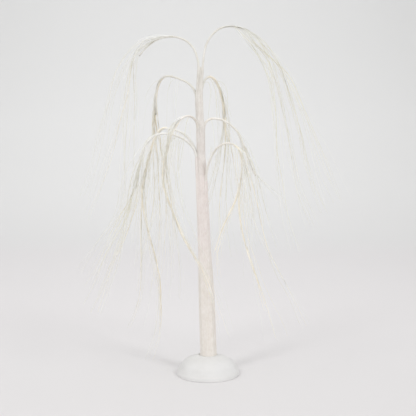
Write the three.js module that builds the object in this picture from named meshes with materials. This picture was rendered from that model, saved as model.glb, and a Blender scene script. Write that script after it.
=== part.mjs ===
// A table-top model of a weeping willow, in millimetres, +Z up, front towards -Y.
// A bundle of paper-taped wires makes the trunk. It is planted in a moulded round stand and lets
// its wires go in tiers as it rises. Each wire is a bough that arches out and down, and pale
// fibres bound along its outer half weep from it in long tresses. The origin is the centre of
// the stand's flat underside.
import * as THREE from 'three';

// ---- Driving dimensions ----

// Air left between neighbouring solids.
const CLEARANCE = 0.3;

// The stand: a low mound with a short upright lip, a rounded shoulder, a top that still rises a
// little towards the trunk, and a socket for the trunk.
const STAND = { radius: 26.7, lip: 2.6, chamfer: 0.7, height: 17.4, socketDepth: 9 };
const STAND_SHOULDER = { radius: 15.5, height: 14.6 };

// The trunk's radius by height. It thins in steps where wires leave it.
const TRUNK_RADIUS = [
  [STAND.height - STAND.socketDepth + CLEARANCE, 6.9],
  [22, 6.85],
  [64, 6.6],
  [86, 6.1],
  [108, 5.35],
  [150, 5.05],
  [164, 4.95],
  [177, 4.5],
  [190, 3.7],
  [210, 3.4],
  [233, 3.3],
  [243, 2.15],
  [263, 1.9],
];

// How far the trunk's centre line leans towards +X, by height.
const TRUNK_LEAN = [
  [0, 0.5],
  [22, 0.4],
  [65, -1],
  [152, -4.7],
  [239, -7.5],
  [270, -5.7],
];

// A taped wire's radius where it leaves the trunk and where the fibres begin.
const WIRE_RADIUS = { root: 0.95, end: 0.65 };

// The fibres bound round the outer half of a wire make a flat sleeve, in multiples of the wire's
// radius where they begin, and this deep at its tip.
const SLEEVE = { start: 2, tipHalfDepth: 1.85, unevenness: 0.12 };

// A bough's tresses hang side by side from its tip: the spacing of their tops and the half width
// there, how many degrees below level their feet point, the depth as a share of the width, how
// much narrower the foot is than the widest part, and how uneven the surface is.
const TRESS = { pitch: 2.7, topHalf: 1.15, flare: 66, flatness: 0.46, endTaper: 0.35, unevenness: 0.3 };

// The share of its span that each handle of a curve reaches.
const HANDLE = { climb: 0.55, reach: 0.55, drop: 0.4, setOut: 0.25, arrive: 0.35 };

// How finely each kind of piece is faceted: sides round it and steps along it.
const FACETS = {
  stand: { sides: 36, steps: 6 },
  trunk: { sides: 14 },
  rise: { sides: 6, steps: 8 },
  fall: { sides: 6, steps: 6 },
  sleeve: { sides: 8, steps: 5 },
  tress: { sides: 8, steps: 8 },
};

// Each bough: its compass direction in degrees (0 is +X, 90 is +Y), the height where it leaves
// the trunk, the reach from the trunk and the height of its crest and of its tip, how far it
// carries on level past the crest, and how many degrees below level it points at the tip. bare
// is the share of the falling part that shows before the fibres begin. Each tress states how
// far round it turns by its foot, in degrees, the reach and height of the foot, its greatest half
// width, and how many degrees below level it sets out.
const BOUGHS = {
  top_left: {
    azimuth: 172, root: 263, crest: [25, 288], tip: [53, 270], carry: 13, droop: 58, bare: 0.45,
    tresses: [
      [-13, 82, 116, 6.5, 78],
      [-4, 96, 138, 7.2, 72],
      [5, 98, 160, 7.2, 24],
      [14, 80, 104, 6.5, 60],
    ],
  },
  top_right: {
    azimuth: -8, root: 263, crest: [24, 296.5], tip: [50, 284], carry: 11, droop: 48, bare: 0.45,
    tresses: [
      [-14, 84, 120, 6.5, 60],
      [-5, 112, 158, 7.2, 38],
      [4, 92, 136, 7.2, 58],
      [13, 102, 144, 6.5, 44],
    ],
  },
  middle_left: {
    azimuth: 140, root: 238, crest: [35, 254.5], tip: [49, 222], carry: 13, droop: 94, bare: 0.4,
    tresses: [
      [-28, 60, 88, 5.9, 84],
      [-14, 68, 66, 6.5, 88],
      [0, 60, 98, 5.9, 88],
    ],
  },
  middle_right: {
    azimuth: 58, root: 238, crest: [16, 254.5], tip: [41, 214], carry: 15, droop: 90, bare: 0.45,
    tresses: [
      [-14, 60, 118, 5.9, 74],
      [12, 52, 102, 6.5, 90],
      [36, 58, 92, 6.5, 86],
    ],
  },
  inner_right: {
    azimuth: 25, root: 214, crest: [12, 220], tip: [52, 170], carry: 24, droop: 66, bare: 0.72,
    tresses: [
      [-14, 66, 116, 5.2, 70],
      [2, 84, 140, 5.2, 50],
      [20, 70, 106, 5.9, 66],
    ],
  },
  inner_left: {
    azimuth: 240, root: 213, crest: [20, 223], tip: [58, 175], carry: 23, droop: 84, bare: 0.5,
    tresses: [
      [-10, 70, 112, 5.2, 80],
      [8, 62, 84, 5.9, 88],
      [48, 64, 54, 5.9, 94],
    ],
  },
  lower_left: {
    azimuth: 200, root: 188, crest: [34, 208], tip: [57, 164], carry: 19, droop: 78, bare: 0.45,
    tresses: [
      [-9, 96, 96, 5.9, 66],
      [1, 88, 66, 6.5, 74],
      [11, 98, 92, 5.9, 62],
    ],
  },
  lower_back: {
    azimuth: 160, root: 188, crest: [33, 211.5], tip: [54, 152], carry: 9, droop: 84, bare: 0.3,
    tresses: [
      [-8, 66, 38, 6.5, 84],
      [4, 100, 58, 6.5, 66],
      [18, 42, 20, 6.5, 98],
    ],
  },
  lower_right: {
    azimuth: 310, root: 168, crest: [34, 201.5], tip: [45, 158], carry: 25, droop: 106, bare: 0.33,
    tresses: [
      [-28, 52, 104, 5.2, 92],
      [2, 86, 50, 6.5, 86],
      [16, 98, 62, 5.9, 76],
    ],
  },
};

// ---- Small helpers ----

const UP = new THREE.Vector3(0, 0, 1);
const toRadians = THREE.MathUtils.degToRad;

// The value that a table of [height, value] rows gives at one height, straight between rows.
function readTable(table, height) {
  const found = table.findIndex(([level]) => level > height);
  const above = found < 0 ? table.length - 1 : Math.max(found, 1);
  const [lowLevel, lowValue] = table[above - 1];
  const [highLevel, highValue] = table[above];
  const share = THREE.MathUtils.clamp((height - lowLevel) / (highLevel - lowLevel), 0, 1);
  return THREE.MathUtils.lerp(lowValue, highValue, share);
}

const TRUNK_TOP = TRUNK_RADIUS[TRUNK_RADIUS.length - 1][0];
const trunkRadius = (height) => (height < TRUNK_TOP ? readTable(TRUNK_RADIUS, height) : 0);
const trunkCentre = (height) => new THREE.Vector3(readTable(TRUNK_LEAN, height), 0, height);

// The level direction at that many degrees round from +X.
function compass(degrees) {
  const angle = toRadians(degrees);
  return new THREE.Vector3(Math.cos(angle), Math.sin(angle), 0);
}

// The direction that many degrees below level, on the way out along a level direction.
function headingAlong(level, degrees) {
  const angle = toRadians(degrees);
  return level.clone().multiplyScalar(Math.cos(angle)).addScaledVector(UP, -Math.sin(angle));
}

// One closed section across a sweep: a ring of corners round a centre.
function section(centre, tangent, side, halfWidth, halfDepth, sides, stretch = () => 1) {
  const across = side.clone().addScaledVector(tangent, -side.dot(tangent)).normalize();
  const outward = new THREE.Vector3().crossVectors(tangent, across);
  return Array.from({ length: sides }, (_, corner) => {
    const angle = (corner / sides) * 2 * Math.PI;
    const size = stretch();
    return centre.clone()
      .addScaledVector(across, Math.cos(angle) * halfWidth * size)
      .addScaledVector(outward, Math.sin(angle) * halfDepth * size);
  });
}

// A closed body from rings of equal length, with a flat cap at each end.
function loft(rings) {
  const sides = rings[0].length;
  const last = rings.length - 1;
  const middle = (ring) => ring
    .reduce((sum, point) => sum.add(point), new THREE.Vector3())
    .divideScalar(sides);
  const points = [...rings.flat(), middle(rings[0]), middle(rings[last])];
  const triangles = [];
  for (let corner = 0; corner < sides; corner += 1) {
    const next = (corner + 1) % sides;
    for (let ring = 0; ring < last; ring += 1) {
      const here = ring * sides + corner;
      const beside = ring * sides + next;
      triangles.push(here, beside, beside + sides);
      triangles.push(here, beside + sides, here + sides);
    }
    triangles.push(points.length - 2, next, corner);
    triangles.push(points.length - 1, last * sides + corner, last * sides + next);
  }
  const geometry = new THREE.BufferGeometry().setFromPoints(points);
  geometry.setIndex(triangles);
  geometry.computeVertexNormals();
  return geometry;
}

// A closed body swept along part of a curve, with the same uneven surface on every build.
function sweep(curve, side, { from = 0, to = 1, facets, width, depth, unevenness = 0, seed = 1 }) {
  THREE.MathUtils.seededRandom(seed);
  const stretch = () => 1 - unevenness * THREE.MathUtils.seededRandom();
  const rings = [];
  for (let step = 0; step <= facets.steps; step += 1) {
    const share = step / facets.steps;
    const at = THREE.MathUtils.lerp(from, to, share);
    const centre = curve.getPointAt(at);
    const tangent = curve.getTangentAt(at);
    rings.push(section(centre, tangent, side, width(share), depth(share), facets.sides, stretch));
  }
  return loft(rings);
}

// ---- Materials ----

const finish = (name, color, roughness) => {
  const material = new THREE.MeshStandardMaterial({ color, roughness, metalness: 0 });
  material.name = name;
  return material;
};
const MOULDED = finish('moulded_stand', 0xe9e8e6, 0.7);
const TAPE = finish('paper_tape', 0xe3dcd6, 0.85);
const FIBRE = finish('fibre', 0xe6e0d0, 0.9);

// ---- Pieces ----

const tree = new THREE.Group();
tree.name = 'willow_model';

function addPiece(name, geometry, material) {
  const piece = new THREE.Mesh(geometry, material);
  piece.name = name;
  tree.add(piece);
}

// The stand is turned about the vertical axis, with an open socket in its top.
function makeStand() {
  const socket = trunkRadius(STAND.height) + TRUNK_LEAN[0][1] + CLEARANCE;
  const socketFloor = STAND.height - STAND.socketDepth;
  const halfway = (STAND.lip + STAND_SHOULDER.height) / 2;
  const slope = new THREE.CubicBezierCurve(
    new THREE.Vector2(STAND.radius, STAND.lip),
    new THREE.Vector2(STAND.radius - 1.5, halfway),
    new THREE.Vector2(STAND_SHOULDER.radius + 4, STAND_SHOULDER.height - 1),
    new THREE.Vector2(STAND_SHOULDER.radius, STAND_SHOULDER.height),
  );
  const profile = [
    new THREE.Vector2(0, 0),
    new THREE.Vector2(STAND.radius - STAND.chamfer, 0),
    new THREE.Vector2(STAND.radius, STAND.chamfer),
    ...slope.getPoints(FACETS.stand.steps),
    new THREE.Vector2(socket, STAND.height),
    new THREE.Vector2(socket, socketFloor),
    new THREE.Vector2(0, socketFloor),
  ];
  const geometry = new THREE.LatheGeometry(profile, FACETS.stand.sides);
  geometry.rotateX(Math.PI / 2);
  addPiece('stand', geometry, MOULDED);
}

// The trunk is one tapering body from its flat cut in the socket to the fork.
function makeTrunk() {
  const side = new THREE.Vector3(1, 0, 0);
  const rings = TRUNK_RADIUS.map(([height, radius]) => (
    section(trunkCentre(height), UP, side, radius, radius, FACETS.trunk.sides)
  ));
  addPiece('trunk', loft(rings), TAPE);
}

// Where a bough runs: the rise from the trunk to the crest, and the fall from there to its tip.
function boughCourse(bough) {
  const outward = compass(bough.azimuth);
  const axis = trunkCentre(bough.root);
  const place = ([reach, height]) => axis.clone().addScaledVector(outward, reach).setZ(height);
  const beside = trunkRadius(bough.root) + WIRE_RADIUS.root + CLEARANCE;
  const root = place([beside, bough.root + CLEARANCE]);
  const crest = place(bough.crest);
  const tip = place(bough.tip);
  const tipDirection = headingAlong(outward, bough.droop);
  const rise = new THREE.CubicBezierCurve3(
    root,
    root.clone().addScaledVector(UP, (crest.z - root.z) * HANDLE.climb),
    crest.clone().addScaledVector(outward, (beside - bough.crest[0]) * HANDLE.reach),
    crest,
  );
  const fall = new THREE.CubicBezierCurve3(
    crest,
    crest.clone().addScaledVector(outward, bough.carry),
    tip.clone().addScaledVector(tipDirection, -crest.distanceTo(tip) * HANDLE.drop),
    tip,
  );
  return { axis, rise, fall, tip, tipDirection, side: new THREE.Vector3().crossVectors(UP, outward) };
}

const taper = (start, end) => (share) => THREE.MathUtils.lerp(start, end, share);

// A bough's taped wire, split at the crest, as far as the fibres.
function makeWire(name, bough, { rise, fall, side }) {
  const crestRadius = (WIRE_RADIUS.root + WIRE_RADIUS.end) / 2;
  const rising = taper(WIRE_RADIUS.root, crestRadius);
  const falling = taper(crestRadius, WIRE_RADIUS.end);
  const halfGap = CLEARANCE / 2;
  addPiece(`bough_${name}_rise`, sweep(rise, side, {
    to: 1 - halfGap / rise.getLength(), facets: FACETS.rise, width: rising, depth: rising,
  }), TAPE);
  addPiece(`bough_${name}_fall`, sweep(fall, side, {
    from: halfGap / fall.getLength(), to: bough.bare, facets: FACETS.fall, width: falling, depth: falling,
  }), TAPE);
}

// The sleeve of fibres round the outer part of a bough's wire.
function makeSleeve(name, bough, { fall, side }, seed) {
  const start = WIRE_RADIUS.end * SLEEVE.start;
  addPiece(`foliage_${name}_sleeve`, sweep(fall, side, {
    from: bough.bare + CLEARANCE / fall.getLength(),
    facets: FACETS.sleeve,
    width: taper(start, TRESS.pitch * bough.tresses.length * 0.5),
    depth: taper(start, SLEEVE.tipHalfDepth),
    unevenness: SLEEVE.unevenness,
    seed,
  }), FIBRE);
}

// One hanging tress, from its place in the row at the bough's tip to its foot.
function makeTress(name, bough, course, index, seed) {
  const [turn, reach, height, widest, heading] = bough.tresses[index];
  const away = compass(bough.azimuth + turn);
  const setOut = headingAlong(away, heading);
  const seat = CLEARANCE + TRESS.topHalf * Math.sin(course.tipDirection.angleTo(setOut));
  const row = index - (bough.tresses.length - 1) / 2;
  const top = course.tip.clone()
    .addScaledVector(course.tipDirection, seat)
    .addScaledVector(course.side, row * TRESS.pitch);
  const foot = course.axis.clone().addScaledVector(away, reach).setZ(height);
  const length = foot.distanceTo(top);
  const curve = new THREE.CubicBezierCurve3(
    top,
    top.clone().addScaledVector(setOut, length * HANDLE.setOut),
    foot.clone().addScaledVector(headingAlong(away, TRESS.flare), -length * HANDLE.arrive),
    foot,
  );
  const swell = (share) => THREE.MathUtils.smoothstep(share, 0, 1) * (1 - TRESS.endTaper * share ** 3);
  const halfSize = (most) => (share) => THREE.MathUtils.lerp(TRESS.topHalf, most, swell(share));
  addPiece(`foliage_${name}_tress_${index + 1}`, sweep(curve, course.side, {
    facets: FACETS.tress,
    width: halfSize(widest),
    depth: halfSize(widest * TRESS.flatness),
    unevenness: TRESS.unevenness,
    seed,
  }), FIBRE);
}

makeStand();
makeTrunk();
Object.entries(BOUGHS).forEach(([name, bough], order) => {
  const course = boughCourse(bough);
  const seed = 100 + order * 10;
  makeWire(name, bough, course);
  makeSleeve(name, bough, course, seed);
  bough.tresses.forEach((_, index) => makeTress(name, bough, course, index, seed + index + 1));
});

export default tree;
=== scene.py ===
"""A table-top weeping willow of paper-taped wire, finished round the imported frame.

Lengths are in metres and the axes are the frame's: +Z up, with the front towards -Y. The frame
gives every place and size of the tree: the trunk, the wire boughs, and the centre lines and
widths of the hanging tresses. This file turns them into wound tape, a moulded stand and
separate fibres, and sets a plain pale studio round them.
"""

import math

import bpy
import numpy as np
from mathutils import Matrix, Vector, noise


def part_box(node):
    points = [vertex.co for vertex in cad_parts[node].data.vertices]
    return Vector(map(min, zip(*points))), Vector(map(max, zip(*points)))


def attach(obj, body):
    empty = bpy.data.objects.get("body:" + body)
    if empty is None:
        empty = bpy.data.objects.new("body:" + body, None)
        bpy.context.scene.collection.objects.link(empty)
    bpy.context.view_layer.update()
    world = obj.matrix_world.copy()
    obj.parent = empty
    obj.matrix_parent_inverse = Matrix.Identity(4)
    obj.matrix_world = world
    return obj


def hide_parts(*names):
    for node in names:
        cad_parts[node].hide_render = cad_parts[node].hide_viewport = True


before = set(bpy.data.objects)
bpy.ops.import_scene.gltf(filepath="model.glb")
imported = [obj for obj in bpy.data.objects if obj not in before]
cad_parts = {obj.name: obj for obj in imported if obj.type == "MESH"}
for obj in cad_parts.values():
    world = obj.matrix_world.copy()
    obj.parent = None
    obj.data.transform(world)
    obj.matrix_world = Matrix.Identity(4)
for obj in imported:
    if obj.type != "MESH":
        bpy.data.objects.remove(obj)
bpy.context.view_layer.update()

MM = 0.001
TURN = 2 * math.pi

# ---- What the tree is made of ----

BOUGHS = ("top_left", "top_right", "middle_left", "middle_right", "inner_right", "inner_left",
          "lower_left", "lower_back", "lower_right")

# The corners round each kind of lofted solid in the frame.
TRUNK_SIDES = 14
WIRE_SIDES = 6
FOLIAGE_SIDES = 8

# Paper tape wound round the trunk and the wires: how far a turn climbs, how wide the tape is,
# how thick, and how many columns of faces go round. The turns overlap, so the width is larger.
TRUNK_TAPE = {"pitch": 8.6 * MM, "width": 11.5 * MM, "thickness": 0.05 * MM, "columns": 96}
WIRE_TAPE = {"pitch": 4.4 * MM, "width": 5.8 * MM, "thickness": 0.045 * MM, "columns": 14}
TAPE_ROWS = 6
# How far a turn sways, as a share of its climb, and puckers, as a share of its thickness.
TAPE_SWAY = 0.09
TAPE_PUCKER = 0.16
# What the tape is wound round lies this far below it.
CORE_BELOW = 0.02 * MM

# The lowest boughs have the thickest wire.
WIRE_RADIUS = {"top": 0.88 * MM, "lowest": 1.12 * MM}
WIRE_END_RADIUS = 0.62 * MM

# How a wire lies against the bundle. under: how far below its root it is, and how far its centre
# then lies outside the trunk's own surface. above: how far further out than the frame's own line
# it lies at that line's first places. The two top wires fork; the others lean on the bundle.
WIRE_SEATS = {
    "fork": {
        "under": ((-30 * MM, -1.1 * MM), (-19 * MM, -0.40 * MM), (-10 * MM, -0.30 * MM),
                  (-4 * MM, -0.22 * MM), (0.0, -0.18 * MM)),
        "above": (0.45 * MM, 0.6 * MM, 0.4 * MM)},
    "side": {
        "under": ((-30 * MM, -1.1 * MM), (-19 * MM, -0.75 * MM), (-10 * MM, -0.35 * MM),
                  (-4 * MM, 0.0), (0.0, 0.35 * MM)),
        "above": (-0.9 * MM, -0.5 * MM, -0.2 * MM)},
}

# Between these distances below their roots, the wires move round the bundle to even places.
SETTLING = (12 * MM, 70 * MM)

# The packing between the wires, as a share of the trunk's radius, by height.
PACKING = (
    (108 * MM, 1.0), (150 * MM, 0.97), (164 * MM, 0.95), (177 * MM, 0.9), (190 * MM, 0.84),
    (214 * MM, 0.80), (233 * MM, 0.76), (238 * MM, 0.66), (243 * MM, 0.3), (252 * MM, 0.14),
    (263 * MM, 0.1),
)

# The steel core that shows at a wire's cut end: its radius, and how far it stands out.
STEEL_RADIUS = 0.34 * MM
STEEL_SHOWS = 0.7 * MM


# ---- Curves ----

def unit(vectors):
    """The same directions with length one."""
    length = np.linalg.norm(vectors, axis=-1, keepdims=True)
    return vectors / np.maximum(length, 1e-12)


def travelled(points):
    """How far along a line of points each point lies."""
    steps = np.linalg.norm(np.diff(points, axis=0), axis=1)
    return np.concatenate([[0.0], np.cumsum(steps)])


def smooth_read(knots, values, at):
    """A smooth curve through values at the knots, read at other places between them."""
    knots = np.asarray(knots, float)
    values = np.asarray(values, float)
    slopes = np.gradient(values, knots, axis=0)
    at = np.clip(at, knots[0], knots[-1])
    left = np.clip(np.searchsorted(knots, at) - 1, 0, len(knots) - 2)
    span = knots[left + 1] - knots[left]
    share = (at - knots[left]) / span
    if values.ndim > 1:
        span = span[..., None]
        share = share[..., None]
    square = share * share
    cube = square * share
    return (values[left] * (2 * cube - 3 * square + 1)
            + slopes[left] * span * (cube - 2 * square + share)
            + values[left + 1] * (3 * square - 2 * cube)
            + slopes[left + 1] * span * (cube - square))


def smoothstep(share):
    """Eases from 0 to 1."""
    share = np.clip(share, 0, 1)
    return share * share * (3 - 2 * share)


def evenly_round(count):
    """Angles evenly spaced once round."""
    return np.arange(count) / count * TURN


def square_to(points, across, axis=0):
    """The direction along lines of points, and the side and outer directions square to it."""
    tangent = unit(np.gradient(points, axis=axis))
    side = unit(across - tangent * (tangent @ across)[..., None])
    return tangent, side, np.cross(tangent, side)


def spun(centre, side, outer, radius, angle):
    """Places at a radius and an angle round a centre, turning from the side to the outer side."""
    return (centre + side * (radius * np.cos(angle))[..., None]
            + outer * (radius * np.sin(angle))[..., None])


def turned(profile, columns):
    """Rows of places round the upright axis, from an outline of radii and heights."""
    angle = evenly_round(columns)
    radius = profile[:, :1]
    height = np.broadcast_to(profile[:, 1:], (len(profile), columns))
    return np.stack([radius * np.cos(angle), radius * np.sin(angle), height], axis=-1)


# ---- Reading the frame ----

def merged_corners(node):
    """A node's corners, each once, and its triangles as triples of corner numbers."""
    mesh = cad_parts[node].data
    mesh.calc_loop_triangles()
    places = np.array([vertex.co for vertex in mesh.vertices])
    grain = 1e-6
    _, first, corner_of = np.unique(np.round(places / grain).astype(int), axis=0,
                                    return_index=True, return_inverse=True)
    corner_of = corner_of.reshape(-1)
    triangles = np.array([corner_of[list(face.vertices)] for face in mesh.loop_triangles])
    return places[first], triangles


# How far the face normals round a corner may differ where a node's end is flat.
FLAT_WITHIN = 0.01


def rings_of(node, sides):
    """The rings of corners along a lofted node, from one flat cap to the other."""
    corners, triangles = merged_corners(node)
    a, b, c = (corners[triangles[:, k]] for k in range(3))
    normals = unit(np.cross(b - a, c - a))
    links = [set() for _ in corners]
    facing = [[] for _ in corners]
    for triangle, normal in zip(triangles, normals):
        for corner in triangle:
            links[corner].update(triangle)
            facing[corner].append(normal)
    flat = [np.ptp(np.array(around), axis=0).max() < FLAT_WITHIN for around in facing]
    cap = flat.index(True)
    seen = {cap}
    edge = [cap]
    rings = []
    while True:
        edge = sorted({other for corner in edge for other in links[corner]} - seen)
        if len(edge) < sides:
            return rings
        seen.update(edge)
        rings.append(corners[edge])


def centre_line(node, sides, near):
    """A lofted node's ring centres and rings, starting at the end that is nearer to a place."""
    rings = np.array(rings_of(node, sides))
    centres = rings.mean(axis=1)
    if np.linalg.norm(centres[0] - near) > np.linalg.norm(centres[-1] - near):
        return centres[::-1], rings[::-1]
    return centres, rings


TRUNK_CENTRES, TRUNK_RINGS = centre_line("trunk", TRUNK_SIDES, near=(0, 0, 0))
TRUNK_RADII = np.linalg.norm(TRUNK_RINGS - TRUNK_CENTRES[:, None], axis=2).mean(axis=1)
TRUNK_FOOT = TRUNK_CENTRES[0, 2]
TRUNK_TOP = TRUNK_CENTRES[-1, 2]


def trunk_centre(height):
    """Where the trunk's centre line is at a height, or at many."""
    height = np.asarray(height, float)
    x = np.interp(height, TRUNK_CENTRES[:, 2], TRUNK_CENTRES[:, 0])
    y = np.interp(height, TRUNK_CENTRES[:, 2], TRUNK_CENTRES[:, 1])
    return np.stack([x, y, height], axis=-1)


def trunk_radius(height):
    """The trunk's radius at a height, or at many."""
    return np.interp(height, TRUNK_CENTRES[:, 2], TRUNK_RADII)


# How each bough is dressed, where it differs from the usual.
# - golden: the tresses that hang from a golden lock. bound: how many fibres that lock has. heart:
#   the share of its fall that its tight heart reaches down, where it has one.
# - locks, singles: how many small locks and single fibres each tress has. gold, white: the shares
#   of the small locks that are golden and that are the palest.
# - wisps: how many fibres drop from the wire.
# - leaves: where the locks leave the wire, as shares of its fall from the crest to the frame's
#   tip. rise: by how many degrees they then head above it.
# - wire_stops: how far before the frame's tip the wire is cut. tape: the colour of its tape.
# - binding: from how far after the crest to how far before the frame's tip fibres are bound.
USUAL = {"golden": (), "bound": 4, "heart": 0.0, "locks": 1, "singles": 3, "gold": 0.0, "white": 0.2,
         "wisps": 24, "wire_stops": 0.0, "binding": None}
DRESSING = {
    "top_left": {
        "golden": (2,), "bound": 3, "locks": 2, "white": 0.8, "wisps": 0, "leaves": (0.15, 0.65),
        "rise": (12, 34), "wire_stops": 3 * MM, "tape": "olive"},
    "top_right": {
        "locks": 2, "wisps": 0, "leaves": (-0.1, 0.55), "rise": (-48, -4), "wire_stops": 18 * MM,
        "tape": "olive"},
    "middle_left": {
        "golden": (1, 2), "heart": 0.3, "gold": 0.15, "wisps": 12, "leaves": (0.45, 0.9),
        "rise": (-6, 14), "tape": "olive", "binding": (2 * MM, 4 * MM)},
    "middle_right": {
        "golden": (1, 2), "heart": 0.36, "gold": 0.3, "white": 0.1, "wisps": 20,
        "leaves": (0.4, 0.95), "rise": (-8, 10), "wire_stops": 5 * MM, "tape": "olive",
        "binding": (-4 * MM, 0.0)},
    "inner_right": {
        "singles": 2, "white": 0.6, "wisps": 14, "leaves": (0.15, 0.8), "rise": (-20, 10),
        "tape": "cream"},
    "inner_left": {
        "golden": (3,), "bound": 5, "heart": 0.8, "locks": 2, "singles": 4, "gold": 0.15,
        "white": 0.65, "wisps": 12, "leaves": (0.05, 0.75), "rise": (0, 24), "wire_stops": 4 * MM,
        "tape": "cream", "binding": (8 * MM, 2 * MM)},
    "lower_left": {
        "locks": 2, "white": 0.0, "wisps": 26, "leaves": (0.4, 0.9), "rise": (-6, 10),
        "tape": "grey"},
    "lower_back": {
        "golden": (3,), "bound": 6, "heart": 0.8, "locks": 2, "gold": 0.7, "white": 0.1,
        "leaves": (0.2, 0.9), "rise": (-6, 14), "wire_stops": 8 * MM, "tape": "grey",
        "binding": (-2 * MM, 4 * MM)},
    "lower_right": {
        "golden": (1, 2), "bound": 5, "heart": 0.74, "gold": 0.3, "white": 0.3,
        "leaves": (0.05, 0.8), "rise": (-6, 14), "wire_stops": 32 * MM, "tape": "cream",
        "binding": (7 * MM, 10 * MM)},
}


class Bough:
    """One wire bough as the frame holds it: its direction, its wire's line and its tresses."""

    def __init__(self, name):
        self.name = name
        self.dressing = {**USUAL, **DRESSING[name]}
        axis = trunk_centre(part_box(f"bough_{name}_rise")[0].z)
        rise, _ = centre_line(f"bough_{name}_rise", WIRE_SIDES, axis)
        fall, _ = centre_line(f"bough_{name}_fall", WIRE_SIDES, rise[-1])
        sleeve, _ = centre_line(f"foliage_{name}_sleeve", FOLIAGE_SIDES, fall[-1])
        self.root = rise[0]
        self.tip = sleeve[-1]
        self.out = unit((self.tip - self.root) * (1, 1, 0))
        self.across = np.cross((0, 0, 1), self.out)
        self.azimuth = math.atan2(self.out[1], self.out[0]) % TURN
        lowest = min(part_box(f"bough_{other}_rise")[0].z for other in BOUGHS)
        down = (TRUNK_TOP - self.root[2]) / (TRUNK_TOP - lowest)
        self.wire_radius = WIRE_RADIUS["top"] + (WIRE_RADIUS["lowest"] - WIRE_RADIUS["top"]) * down
        self.seat = WIRE_SEATS["fork" if self.root[2] >= TRUNK_TOP else "side"]
        for place, outward in enumerate(self.seat["above"]):
            rise[place] += self.out * outward
        under = [self.under_tape(below, outside) for below, outside in self.seat["under"][:-1]]
        knots = np.array([*under, *rise[:-1], (rise[-1] + fall[0]) / 2, *fall[1:-1],
                          (fall[-1] + sleeve[0]) / 2, *sleeve[1:]])
        self.knots_at = travelled(knots)
        self.knots = knots
        self.length = self.knots_at[-1]
        self.wire_end = self.length - self.dressing["wire_stops"]
        self.crest_at = self.knots_at[len(under) + len(rise) - 1]
        self.root_at = self.knots_at[len(under)]
        self.tresses = [self.tress(index) for index in range(1, 1 + self.tress_count())]

    def under_tape(self, below, outside):
        """Where the wire lies under the trunk's tape, that far from its root's height."""
        height = self.root[2] + below
        return trunk_centre(height) + self.out * (trunk_radius(height) + outside)

    def tress_count(self):
        """How many tresses the frame holds for this bough."""
        start = f"foliage_{self.name}_tress_"
        return sum(node.startswith(start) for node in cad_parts)

    def tress(self, index):
        """A tress's ring centres from the top down, and its half width and half depth there."""
        centres, rings = centre_line(f"foliage_{self.name}_tress_{index}", FOLIAGE_SIDES, self.tip)
        spread = rings - centres[:, None]
        _, sides, outers = square_to(centres, self.across)
        widths = np.abs((spread * sides[:, None]).sum(axis=2)).max(axis=1)
        depths = np.abs((spread * outers[:, None]).sum(axis=2)).max(axis=1)
        return centres, widths, depths

    def radius(self, at):
        """The taped wire's radius along it. Past its end only a thin core of fibres is left."""
        share = np.clip(at / self.wire_end, 0, 1)
        taped = self.wire_radius + (WIRE_END_RADIUS - self.wire_radius) * share
        past = smoothstep((at - self.wire_end) / (5 * MM))
        return taped * (1 - 0.75 * past)

    def wire(self, at):
        """Points along the wire, the direction it runs there, and its outer side there."""
        step = 0.2 * MM
        points, ahead, behind = (smooth_read(self.knots_at, self.knots, np.asarray(at) + move)
                                 for move in (0, step, -step))
        tangents = unit(ahead - behind)
        return points, tangents, np.cross(tangents, self.across)


# ---- Meshes ----

# Edges sharper than this are crisp on a piece that has crisp edges.
CRISP_ANGLE = math.radians(35)


def new_object(name, data):
    """An object in the scene that holds a mesh, a light or a camera."""
    added = bpy.data.objects.new(name, data)
    bpy.context.scene.collection.objects.link(added)
    return added


def new_mesh(name, points, faces, materials, smooth=True):
    """A mesh object in the scene, smooth or flat shaded. points is any array of places."""
    mesh = bpy.data.meshes.new(name)
    mesh.from_pydata(points.reshape(-1, 3).tolist(), [], [list(face) for face in faces])
    for material in materials:
        mesh.materials.append(material)
    mesh.polygons.foreach_set("use_smooth", np.full(len(faces), smooth))
    return new_object(name, mesh)


def new_piece(name, points, faces, materials, crisp=False, smooth=True, face_material=None):
    """A mesh object that rides on the tree. face_material numbers the material of each face."""
    piece = new_mesh(name, points, faces, materials, smooth)
    if crisp:
        piece.data.set_sharp_from_angle(angle=CRISP_ANGLE)
    if face_material is not None:
        piece.data.polygons.foreach_set("material_index", np.asarray(face_material, np.int32))
    piece.data.update()
    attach(piece, "root")
    return piece


def grid_faces(rows, columns, start=0):
    """The four-cornered faces between closed rows of corners, numbered from start."""
    row = start + np.arange(rows - 1)[:, None] * columns
    column = np.arange(columns)
    beside = (column + 1) % columns
    above = row + columns
    corners = (row + column, row + beside, above + beside, above + column)
    return np.stack(corners, axis=-1).reshape(-1, 4)


def lofted(points, start=0):
    """Faces for closed rows of corners with a cap on each end. points is rows by columns by 3."""
    rows, columns = points.shape[:2]
    first = range(start, start + columns)
    last = range(start + (rows - 1) * columns, start + rows * columns)
    return [*grid_faces(rows, columns, start), first[::-1], last]


def wobble(where, size, seed):
    """Smooth noise, about -1 to 1, at each of an array of places."""
    shape = where.shape[:-1]
    flat = (where / size + seed * 17.3).reshape(-1, 3)
    values = np.array([noise.noise(Vector(place)) for place in flat])
    return values.reshape(shape) * 1.6


def wound_core(surface, along, columns):
    """What the tape is wound round, as rows of places just below the same surface."""
    angles, stations = np.meshgrid(evenly_round(columns), along)
    return surface(angles, stations, np.full(angles.shape, -CORE_BELOW))


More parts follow.
